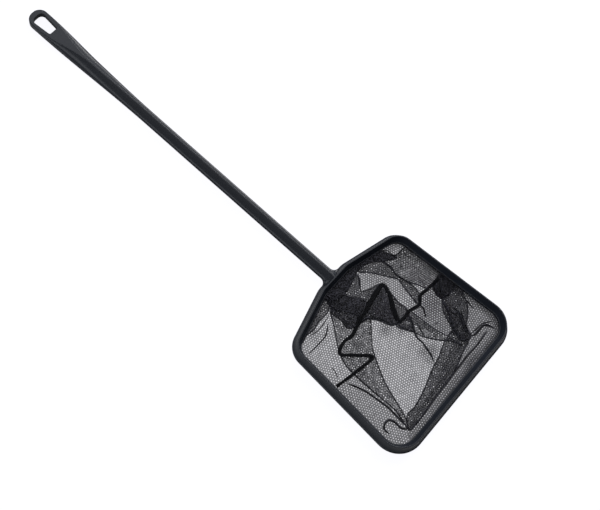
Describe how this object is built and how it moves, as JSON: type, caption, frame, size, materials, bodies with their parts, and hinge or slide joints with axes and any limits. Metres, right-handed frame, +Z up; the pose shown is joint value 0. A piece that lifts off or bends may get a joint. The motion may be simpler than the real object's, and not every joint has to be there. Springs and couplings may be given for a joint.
{
  "type": "aquarium fish net",
  "caption": "Aquarium fish net: long moulded plastic handle with a hanging hole, wide flat-fronted hoop, and a soft mesh bag clamped in the rim by a ring.",
  "frame": {"origin": "middle of the object's box, on its resting face", "axes": "+X from the hanging end of the handle to the far side of the hoop, +Y across the hoop, +Z up out of the mouth of the net"},
  "size_m": [0.3894, 0.127, 0.008],
  "materials": {
    "frame_plastic": "satin moulded",
    "ring_plastic": "satin moulded",
    "net_mesh": "knitted mesh",
    "seam_thread": "overlocked thread"
  },
  "bodies": {
    "root": {"frame": "frame_plastic", "clamp_ring": "ring_plastic", "net_panel_handle_side": "net_mesh", "net_panel_far_side": "net_mesh", "net_seam": "seam_thread"}
  },
  "joints": []
}
